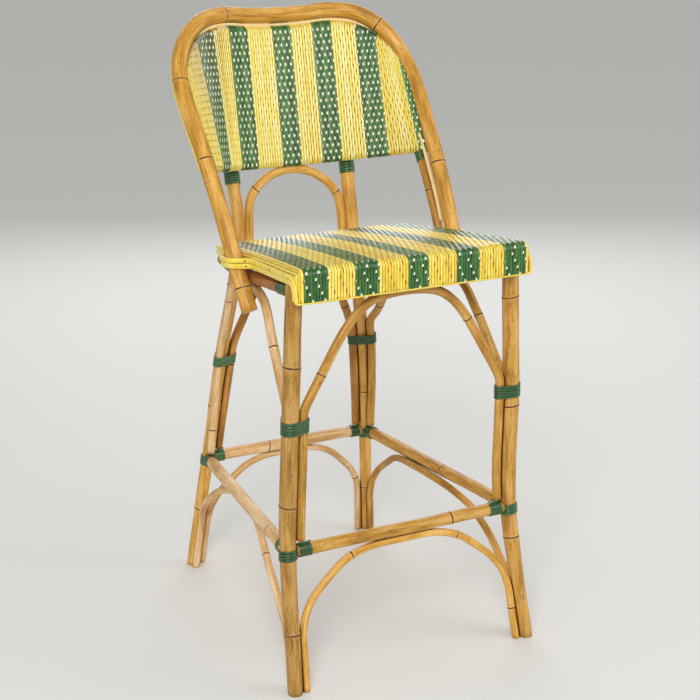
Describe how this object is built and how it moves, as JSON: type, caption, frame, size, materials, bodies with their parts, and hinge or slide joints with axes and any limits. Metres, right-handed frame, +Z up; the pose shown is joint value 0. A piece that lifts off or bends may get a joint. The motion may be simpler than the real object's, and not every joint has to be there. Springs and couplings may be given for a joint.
{
  "type": "bar-height bistro chair",
  "caption": "Bar-height bistro chair of bent rattan poles with bound joints, a striped woven seat and a barrel-curved striped woven back.",
  "frame": {"origin": "on the floor, under the middle of the chair's bounding box", "axes": "+Z up, the sitter faces -Y, left as seen from the front is -X"},
  "size_m": [0.5024, 0.6074, 1.1276],
  "materials": {
    "woven_seat": "gloss lacquered cane woven in yellow and dark green stripes",
    "woven_back": "gloss lacquered cane woven in yellow and dark green stripes",
    "green_binding": "gloss lacquered round strand",
    "yellow_edge_cane": "gloss lacquered half-round cane",
    "yellow_border_cane": "gloss lacquered flat cane",
    "split_cane_beading": "clear-lacquered split cane",
    "hoop_cane": "clear-lacquered rattan pole",
    "leg_cane": "clear-lacquered rattan pole",
    "arch_cane": "clear-lacquered bent rattan",
    "pale_arch_cane": "clear-lacquered bent rattan, pale",
    "foot_rail_cane": "clear-lacquered rattan pole",
    "frame_cane": "clear-lacquered rattan pole"
  },
  "bodies": {
    "root": {"back_beading": "split_cane_beading", "back_bottom_rail": "frame_cane", "back_hoop": "hoop_cane", "back_rear_border": "yellow_border_cane", "back_side_post_left": "frame_cane", "back_side_post_right": "frame_cane", "back_small_arch": "arch_cane", "back_weave": "woven_back", "foot_rail_front": "foot_rail_cane", "foot_rail_left": "foot_rail_cane", "foot_rail_rear": "foot_rail_cane", "foot_rail_right": "foot_rail_cane", "front_leg_left": "leg_cane", "front_leg_right": "leg_cane", "lower_arch_front": "arch_cane", "lower_arch_left": "arch_cane", "lower_arch_rear": "arch_cane", "lower_arch_right": "arch_cane", "rear_leg_left": "leg_cane", "rear_leg_right": "leg_cane", "seat_band_inner_left": "yellow_edge_cane", "seat_band_inner_right": "yellow_edge_cane", "seat_band_outer": "yellow_edge_cane", "seat_front_rail": "frame_cane", "seat_rear_rail": "frame_cane", "seat_side_rail_left": "frame_cane", "seat_side_rail_right": "frame_cane", "seat_weave": "woven_seat", "upper_arch_front": "arch_cane", "upper_arch_left": "pale_arch_cane", "upper_arch_rear": "arch_cane", "upper_arch_right": "arch_cane", "weave_frame_front": "frame_cane", "weave_frame_left": "frame_cane", "weave_frame_rear": "frame_cane", "weave_frame_right": "frame_cane", "winding_brace_front_left": "green_binding", "winding_brace_front_right": "green_binding", "winding_brace_rear_left": "green_binding", "winding_brace_rear_right": "green_binding", "winding_leg_front_left": "green_binding", "winding_leg_front_right": "green_binding", "winding_leg_rear_left": "green_binding", "winding_leg_rear_right": "green_binding", "winding_post_left": "green_binding", "winding_post_right": "green_binding", "winding_rail_front_at_front_left": "green_binding", "winding_rail_front_at_front_right": "green_binding", "winding_rail_left_at_front_left": "green_binding", "winding_rail_left_at_rear_left": "green_binding", "winding_rail_rear_at_rear_left": "green_binding", "winding_rail_rear_at_rear_right": "green_binding", "winding_rail_right_at_front_right": "green_binding", "winding_rail_right_at_rear_right": "green_binding", "winding_seat_rail_left": "green_binding", "winding_seat_rail_right": "green_binding", "winding_side_post_left": "green_binding", "winding_side_post_right": "green_binding"}
  },
  "joints": []
}
